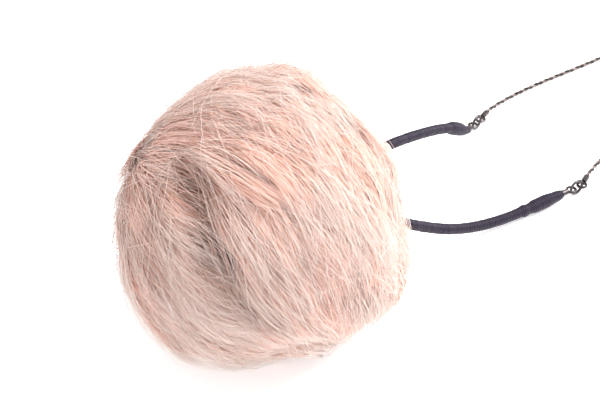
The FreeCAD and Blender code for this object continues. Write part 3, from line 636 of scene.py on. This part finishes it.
def hair_piece(name, paths, width, material, rng, sides, lock_tone=0.5):
    """One mesh of many hairs: flat ribbons when sides is 2, thin tubes when it is 3.

    V runs along each hair and U holds its tone.
    """
    count, rings, _ = paths.shape
    heading = unit(np.gradient(paths, axis=1))
    outward = unit(paths)
    across = unit(np.cross(heading, outward))
    other = np.cross(heading, across)
    roll = rng.uniform(0, math.tau, count)[:, None, None]
    if sides == 2:
        roll = rng.normal(0, RIBBON_ROLL, count)[:, None, None]
    share = np.linspace(0, 1, rings)
    taper = (0.75 + 0.5 * share) * (1 - share ** 3) + THINNEST
    size = width * rng.uniform(0.6, 1.3, (count, 1, 1)) * taper[None, :, None] / 2
    corners = []
    for k in range(sides):
        turn = roll + math.tau * k / sides
        corners.append(paths + (across * np.cos(turn) + other * np.sin(turn)) * size)
    points = np.stack(corners, 2).reshape(-1, 3) * MM + BALL_CENTRE
    first = (np.arange(count) * rings * sides)[:, None, None]
    level = (np.arange(rings - 1) * sides)[None, :, None]
    edge = np.arange(1 if sides == 2 else sides)[None, None, :]
    after = (edge + 1) % sides
    base = first + level
    beyond = base + sides
    faces = np.stack(np.broadcast_arrays(base + edge, base + after, beyond + after, beyond + edge), -1)
    faces = faces.reshape(-1, 4)
    piece = mesh_piece(name, kept_above_table(points), faces, material)
    own_tone = LOCK_SHARE * lock_tone + (1 - LOCK_SHARE) * rng.uniform(0, 1, count)
    left = np.repeat(TONE_FROM + TONE_SPAN * own_tone, (rings - 1) * edge.size)
    right = left + TONE_BREADTH
    low = np.tile(np.repeat(share[:-1], edge.size), count)
    high = np.tile(np.repeat(share[1:], edge.size), count)
    corner_uv = [np.stack(pair, -1) for pair in ((left, low), (right, low), (right, high), (left, high))]
    uv = np.clip(np.stack(corner_uv, 1), UV_MARGIN, 1 - UV_MARGIN)
    layer = piece.data.uv_layers.new(name="OFBake")
    layer.data.foreach_set("uv", uv.astype(np.float32).ravel())
    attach(piece, "windshield")
    return piece


HEM_CLEARANCE = 0.25
HEM_DEPTH = 17.4    # from the ball's centre towards the tail
FUNNEL_RINGS = 8
COAT_DEPTH = 5.6    # from the pile's surface down to the undercoat
COAT_ROLL = 0.5
COAT_OVER_ROOTS = 0.3
COAT_AROUND, COAT_ALONG = 160, 96


def undercoat(material):
    """The dense wool under the long hair: a lumpy skin with a funnel in to the hem at the tail."""
    side = unit(np.cross(TAIL, [0, 1.0, 0]))
    other = np.cross(TAIL, side)
    turn = np.arange(COAT_AROUND) * math.tau / COAT_AROUND
    rim = np.cos(turn)[:, None] * side + np.sin(turn)[:, None] * other
    angles = np.linspace(math.pi, MOUTH_ANGLE, COAT_ALONG + 1)
    places = np.stack([unit(math.cos(angle) * TAIL + math.sin(angle) * rim) for angle in angles])
    flat = places.reshape(-1, 3)
    height = pile_limit(flat) - COAT_DEPTH + COAT_ROLL * ripples(flat, TUFT_WAVES)
    height = np.maximum(height, ROOT_RADIUS + COAT_OVER_ROOTS)
    points = places * height.reshape(COAT_ALONG + 1, COAT_AROUND, 1)
    edge = points[-1]
    outward = edge - TAIL * (edge @ TAIL)[:, None]
    radius_from, depth_from = np.linalg.norm(outward, axis=1), edge @ TAIL
    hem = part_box("hem_elastic")[1][1] / MM + HEM_CLEARANCE
    funnel = []
    for share in np.linspace(0, 1, FUNNEL_RINGS + 1)[1:]:
        depth = depth_from * (1 - share) + HEM_DEPTH * share
        radius = radius_from * (1 - share) + hem * share
        funnel.append(unit(outward) * radius[:, None] + TAIL * depth[:, None])
    points = np.concatenate([points, np.stack(funnel)])
    start = np.arange(len(points) - 1)[:, None] * COAT_AROUND
    here = np.arange(COAT_AROUND)[None]
    after = (here + 1) % COAT_AROUND
    beyond = start + COAT_AROUND
    faces = np.stack([start + here, start + after, beyond + after, beyond + here], -1)
    points = kept_above_table(points.reshape(-1, 3) * MM + BALL_CENTRE)
    piece = mesh_piece("fur_undercoat", points, faces.reshape(-1, 4), material, "windshield")
    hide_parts("fur_pile")


def wool(name):
    """Matted wool: fine streaks in a soft brown-pink."""
    material, nodes, links, shader = new_material(name)
    streaks = noise(nodes, links, 900, detail=8)
    colour = ramp(nodes, links, streaks, [(0.3, (0.42, 0.20, 0.14)), (0.7, (0.68, 0.42, 0.32))])
    links.new(colour, shader.inputs["Base Color"])
    links.new(bump(nodes, links, streaks, 1.0, 0.6 * MM), shader.inputs["Normal"])
    shader.inputs["Roughness"].default_value = 0.95
    return material


def shared_out(name, parts, paths, width, material, rng, sides, tone):
    """Many hairs as several meshes, each a fair sample of them all."""
    for number in range(parts):
        part = np.arange(number, len(paths), parts)
        hair_piece(f"{name}_{number + 1}", paths[part], width, material, rng, sides, tone[part])


def under_hair(material, arms):
    """Short broad hairs that hide the undercoat wherever long hair parts."""
    rng = np.random.default_rng(50)
    places = scattered(rng, 15000)
    paths = strands(rng, places, 4, 0.3, 0.7, 0.55, rise=0.0, proud=0.0, root_depth=COAT_DEPTH)
    paths, = clear_of_arms(paths, arms)
    hair_piece("under_hair", paths, 0.50, material, rng, 2)


LOCKS = 620


def down_hair(material, arms):
    """Fine down in locks, the bulk of the coat."""
    rng = np.random.default_rng(100)
    paths = strands(rng, scattered(rng, 72000), 5, 0.18)
    paths, lock = clumped(paths, rng, LOCKS, strength=0.78, uneven=1.5)
    tone = rng.uniform(0, 1, LOCKS)[lock]
    paths, tone = clear_of_arms(paths, arms, tone)
    shared_out("down_hair", 4, paths, 0.24, material, rng, 2, tone)


def guard_hair(material, arms):
    """Longer, paler hairs in looser locks."""
    rng = np.random.default_rng(200)
    paths = strands(rng, scattered(rng, 10500), 7, 0.22, 1.1, 1.3, rise=1.6, proud=0.2)
    paths, lock = clumped(paths, rng, LOCKS, strength=0.60, uneven=1.0)
    tone = rng.uniform(0, 1, LOCKS)[lock]
    paths, tone = clear_of_arms(paths, arms, tone)
    shared_out("guard_hair", 3, paths, 0.135, material, rng, 3, tone)


WISPS = 240
HAIRS_IN_WISP = 16
WISP_BREADTH = 0.03


def wisp_hair(material, arms):
    """Small tufts that stand up out of the coat."""
    rng = np.random.default_rng(250)
    places = np.repeat(scattered(rng, WISPS), HAIRS_IN_WISP, axis=0)
    places = unit(places + rng.normal(0, WISP_BREADTH, places.shape))
    paths = strands(rng, places, 7, 0.26, 1.6, 1.35, rise=1.9, proud=0.6)
    paths, _ = clumped(paths, rng, 260, strength=0.75, uneven=1.2)
    paths, = clear_of_arms(paths, arms)
    hair_piece("wisp_hair", paths, 0.14, material, rng, 3)


def stray_hair(material, arms):
    """Long single hairs that cross the others."""
    rng = np.random.default_rng(300)
    paths = strands(rng, scattered(rng, 3000), 8, 0.55, 1.5, 1.5, rise=2.4, proud=0.5)
    paths, = clear_of_arms(paths, arms)
    hair_piece("stray_hair", paths, 0.125, material, rng, 3)


def make_fur(arms):
    """The whole coat, from the wool under it to the stray hairs over it."""
    # the painted shade colour given to hair deep in the pile
    painted_shade = (0.27, 0.085, 0.045)
    down = hair_material("down_hair", (0.50, 0.21, 0.14), (0.83, 0.46, 0.34), (0.92, 0.61, 0.51),
                         paler=(0.95, 0.74, 0.66), painted_shade=painted_shade)
    guard = hair_material("guard_hair", (0.74, 0.42, 0.31), (0.93, 0.69, 0.59), (0.96, 0.81, 0.74),
                          paler=(0.98, 0.91, 0.87), painted_shade=painted_shade)
    undercoat(wool("undercoat_wool"))
    under_hair(down, arms)
    down_hair(down, arms)
    guard_hair(guard, arms)
    wisp_hair(guard, arms)
    stray_hair(guard, arms)


# ---- cord ------------------------------------------------------------------------------------

THREAD_PITCH = 0.66 * MM
THREAD_RADIUS = 0.40 * MM
WHIP_RADIUS = 1.62 * MM
POINTS_PER_TURN = 20
WOBBLE = 0.035    # how unevenly the thread lies, in millimetres
WOBBLE_PLACES = 200
LINING_STEP = 1.0 * MM
# Swellings of the whipping, in millimetres: distance from its ring end, extra radius, half length.
SWELLINGS = {"right": [(8.5, 0.50, 4.2), (15.6, 0.28, 1.0)], "left": [(9.5, 0.55, 4.5)]}
# The whipping thins over so many millimetres at its ring end, to this share of its radius.
NECK = {"right": 1.6, "left": 4.2}
NECK_SHARE = 0.55
WHIP_SEEDS = {"left": 7, "right": 8}


def whip_radius(side, from_end):
    """The radius of the thread's path, at distances in millimetres from the ring end."""
    radius = np.full(len(from_end), (WHIP_RADIUS - THREAD_RADIUS) / MM)
    for centre, extra, half in SWELLINGS[side]:
        radius += extra * np.exp(-((from_end - centre) / half) ** 4)
    neck = np.clip(from_end / NECK[side], 0, 1)
    return radius * (NECK_SHARE + (1 - NECK_SHARE) * neck) * MM


def whipping(side, material):
    """Thread wound in tight turns round an arm, over a lining that closes the gaps between them.

    Gives back the arm's middle line, in millimetres from the ball's centre.
    """
    node = f"{side}_arm_whipping"
    points, _ = node_mesh(node)
    path = centreline(node, points[points[:, 0].argmin()])
    path, place = resampled(path, THREAD_PITCH / POINTS_PER_TURN)
    radius = whip_radius(side, (place[-1] - place) / MM)
    _, first, second = frames_along(path)
    rng = np.random.default_rng(WHIP_SEEDS[side])
    uneven = rng.normal(0, WOBBLE, WOBBLE_PLACES)
    reach = radius + np.interp(place, np.linspace(0, place[-1], WOBBLE_PLACES), uneven) * MM
    turn = place / THREAD_PITCH * math.tau
    helix = path + first * (np.cos(turn) * reach)[:, None] + second * (np.sin(turn) * reach)[:, None]
    lining, _ = resampled(path, LINING_STEP)
    inner = np.interp(np.linspace(0, 1, len(lining)), np.linspace(0, 1, len(path)), radius)
    parts = joined([tube(helix, THREAD_RADIUS, 7), tube(lining, inner, 14)])
    piece = mesh_piece(f"{side}_thread_whipping", *parts, material, f"{side}_arm")
    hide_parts(node)
    return (lining - BALL_CENTRE) / MM


ROPE_PITCH = 4.6 * MM
ROPE_POINTS_PER_TURN = 18
ROPE_REACH = 1.4 * MM    # slices of the rope stay within this of its middle line
STRAND_RADIUS = 0.33 * MM
STRAND_LAY = 0.93    # how far from the rope's middle each strand lies, in strand radii


def rope_path(side):
    """The middle line of a rope's two lengths, as one path."""
    lengths = []
    for node in (f"{side}_rope_front", f"{side}_rope_back"):
        points, _ = node_mesh(node)
        lengths.append(centreline(node, points[points[:, 0].argmin()], ROPE_REACH))
    return resampled(np.concatenate(lengths), ROPE_PITCH / ROPE_POINTS_PER_TURN)


def neck_rope(side, dark, bright):
    """Two wire strands laid round each other along the rope's two lengths, joined as one path."""
    path, place = rope_path(side)
    _, first, second = frames_along(path)
    for number, material in enumerate((dark, bright)):
        turn = place / ROPE_PITCH * math.tau + number * math.pi
        outward = first * np.cos(turn)[:, None] + second * np.sin(turn)[:, None]
        helix = path + outward * STRAND_RADIUS * STRAND_LAY
        piece = mesh_piece(f"{side}_rope_strand_{number + 1}", *tube(helix, STRAND_RADIUS, 8), material)
        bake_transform(piece)
        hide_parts(f"{side}_rope_front", f"{side}_rope_back")


def thread_material():
    """Dark purple-navy thread in two tones, its own plies showing as fine relief."""
    material, nodes, links, shader = new_material("whipping_thread")
    plies = noise(nodes, links, 3500, detail=2)
    patches = noise(nodes, links, 160)
    darker = ramp(nodes, links, plies, [(0.3, (0.007, 0.004, 0.012)), (0.7, (0.018, 0.011, 0.030))])
    lighter = ramp(nodes, links, plies, [(0.3, (0.011, 0.006, 0.018)), (0.7, (0.032, 0.020, 0.046))])
    mix = nodes.new("ShaderNodeMix")
    mix.data_type = "RGBA"
    links.new(patches, mix.inputs[0])
    links.new(darker, mix.inputs[6])
    links.new(lighter, mix.inputs[7])
    links.new(mix.outputs[2], shader.inputs["Base Color"])
    links.new(bump(nodes, links, plies, 0.5, 0.06 * MM), shader.inputs["Normal"])
    shader.inputs["Roughness"].default_value = 0.5
    shader.inputs["Specular IOR Level"].default_value = 0.35
    shader.inputs["Sheen Weight"].default_value = 0.04
    return material


def make_cord():
    """Both arms and both ropes.  Gives back the arms' middle lines."""
    thread = thread_material()
    dark = grained("rope_dark_wire", (0.02, 0.016, 0.014), (0.06, 0.048, 0.042), 0.45, 0.5, 5000)
    bright = grained("rope_bright_wire", (0.14, 0.105, 0.095), (0.26, 0.21, 0.195), 0.4, 0.6, 5000)
    arms = []
    for side in ("left", "right"):
        arms.append(whipping(side, thread))
        neck_rope(side, dark, bright)
    return arms


# ---- finishes of the CAD nodes ---------------------------------------------------------------

def finish_nodes():
    """A finish for every CAD node that stays in sight or inside."""
    black = grained("moulded_black", (0.018, 0.018, 0.02), (0.035, 0.035, 0.038), 0.55, scale=3000)
    cap = grained("moulded_cap", (0.03, 0.03, 0.034), (0.05, 0.05, 0.055), 0.45, scale=3500)
    steel = grained("turned_steel", (0.50, 0.50, 0.52), (0.68, 0.68, 0.70), 0.28, 1.0, 2500,
                    stretch=(1, 1, 8))
    dark = grained("blackened_steel", (0.05, 0.042, 0.045), (0.15, 0.13, 0.13), 0.34, 0.95, 3000)
    alloy = grained("anodised_alloy", (0.20, 0.20, 0.22), (0.32, 0.32, 0.34), 0.4, 0.9, 3000)
    rubber = grained("soft_rubber", (0.02, 0.02, 0.02), (0.04, 0.04, 0.04), 0.8, scale=2500)
    board = grained("board_laminate", (0.01, 0.09, 0.04), (0.02, 0.16, 0.07), 0.35, scale=900, coat=0.5)
    chip = grained("chip_moulding", (0.015, 0.015, 0.015), (0.03, 0.03, 0.03), 0.6, scale=4000)
    ceramic = grained("antenna_ceramic", (0.68, 0.66, 0.58), (0.80, 0.78, 0.70), 0.5, scale=3000)
    foil = grained("pouch_foil", (0.55, 0.56, 0.58), (0.74, 0.75, 0.77), 0.3, 0.9, 500, depth=0.3 * MM)
    brass = grained("brass", (0.55, 0.40, 0.15), (0.75, 0.58, 0.28), 0.3, 1.0, 2500)
    film = grained("metallised_film", (0.70, 0.66, 0.5), (0.85, 0.8, 0.65), 0.15, 1.0, 2000)
    red = grained("polished_button", (0.35, 0.02, 0.02), (0.5, 0.04, 0.03), 0.2, scale=2000, coat=0.7)
    resin = grained("led_resin", (0.75, 0.72, 0.6), (0.9, 0.88, 0.78), 0.2, scale=2000, coat=0.6)
    nickel = grained("nickel_plate", (0.62, 0.61, 0.6), (0.78, 0.77, 0.76), 0.12, 1.0, 2000)
    finishes = {
        black: ["upper_shell", "lower_shell"], cap: ["end_cap", "capsule_insulator"],
        steel: ["shell_screws", "arm_pins", "charging_port", "radio_shield"],
        dark: ["left_arm_core", "right_arm_core", "left_link_ring", "right_link_ring", "left_rope_ferrule",
               "right_rope_ferrule", "left_clasp_sleeve", "right_clasp_sleeve"],
        alloy: ["grille_cap", "capsule_can"], rubber: ["capsule_boot", "seam_gasket", "battery_pad"],
        board: ["circuit_board", "capsule_circuit"], chip: ["signal_chips", "tact_switch", "switch_plunger"],
        ceramic: ["antenna"],
        foil: ["battery"], brass: ["capsule_backplate"], film: ["capsule_diaphragm"], red: ["power_button"],
        resin: ["status_led"], nickel: ["left_clasp_magnet", "right_clasp_magnet"],
        glass_like("light_pipe", (0.8, 0.9, 0.82)): ["status_lens"],
        knitted("acoustic_weave", (0.02, 0.02, 0.02), (0.07, 0.07, 0.07)): ["acoustic_mesh"],
        knitted("knit_backing", (0.50, 0.33, 0.26), (0.72, 0.52, 0.43)): ["fur_backing"],
        knitted("covered_elastic", (0.42, 0.28, 0.22), (0.62, 0.45, 0.37)): ["hem_elastic"],
        pores("open_cell_foam", (0.02, 0.02, 0.02), (0.10, 0.095, 0.095)): ["foam_core"],
    }
    for material, nodes in finishes.items():
        for node in nodes:
            dress(node, material)


# ---- stage -----------------------------------------------------------------------------------

SKY_LIGHT = 0.75
TABLE_GLOW = 0.46
TABLE_HALF = 4.0
LIGHT_DISTANCE = 0.7
# Name, direction from the ball as steps right, up and towards the viewer, power in watts, and breadth.
LIGHTS = [("key_light", (0.75, 0.9, 0.5), 7.8, 0.4), ("fill_light", (-0.8, 0.5, 0.9), 0.4, 0.7)]


def sky():
    """Even light from all round; the sky looks white but lights less."""
    world = bpy.data.worlds.new("soft_white")
    world.use_nodes = True
    nodes, links = world.node_tree.nodes, world.node_tree.links
    background = nodes["Background"]
    background.inputs["Color"].default_value = (1.0, 0.985, 1.0, 1)
    path = nodes.new("ShaderNodeLightPath")
    strength = nodes.new("ShaderNodeMapRange")
    strength.inputs["To Min"].default_value = SKY_LIGHT
    strength.inputs["To Max"].default_value = 1.0
    links.new(path.outputs["Is Camera Ray"], strength.inputs["Value"])
    links.new(strength.outputs["Result"], background.inputs["Strength"])
    bpy.context.scene.world = world
    bpy.context.scene.view_settings.view_transform = "Standard"


def table():
    """A wide white table top that glows a little, so that shadows on it stay faint."""
    material, _, _, shader = new_material("white_table")
    shader.inputs["Base Color"].default_value = (0.96, 0.955, 0.965, 1)
    shader.inputs["Roughness"].default_value = 0.9
    shader.inputs["Emission Color"].default_value = (1, 1, 1, 1)
    shader.inputs["Emission Strength"].default_value = TABLE_GLOW
    corners = [(-TABLE_HALF, -TABLE_HALF, 0), (TABLE_HALF, -TABLE_HALF, 0), (TABLE_HALF, TABLE_HALF, 0),
               (-TABLE_HALF, TABLE_HALF, 0)]
    mesh_piece("table_top", corners, [(0, 1, 2, 3)], material, smooth=False)


def lights():
    """The key light from the upper right, and a weak fill from the left."""
    for name, (right, up, back), power, breadth in LIGHTS:
        lamp = bpy.data.lights.new(name, "AREA")
        lamp.energy = power
        lamp.size = breadth
        light = bpy.data.objects.new(name, lamp)
        light.location = Vector(BALL_CENTRE + unit(right * RIGHT + up * UP + back * BACK) * LIGHT_DISTANCE)
        aim = Vector(BALL_CENTRE) - light.location
        light.rotation_euler = aim.to_track_quat("-Z", "Y").to_euler()
        bpy.context.collection.objects.link(light)


def set_camera():
    """A camera high in front, with the ball a little left of the middle."""
    data = bpy.data.cameras.new("camera")
    data.lens = LENS
    data.sensor_width = SENSOR_WIDTH
    data.clip_start = NEAR_CLIP
    data.shift_x = -BALL_SHIFT_RIGHT
    data.shift_y = -BALL_SHIFT_UP
    camera = bpy.data.objects.new("camera", data)
    rotation = Matrix((RIGHT, UP, BACK)).transposed().to_4x4()
    place = Vector(BALL_CENTRE + BACK * VIEW_DISTANCE)
    camera.matrix_world = Matrix.Translation(place) @ rotation
    bpy.context.collection.objects.link(camera)
    bpy.context.scene.camera = camera


finish_nodes()
make_fur(make_cord())
sky()
table()
lights()
set_camera()
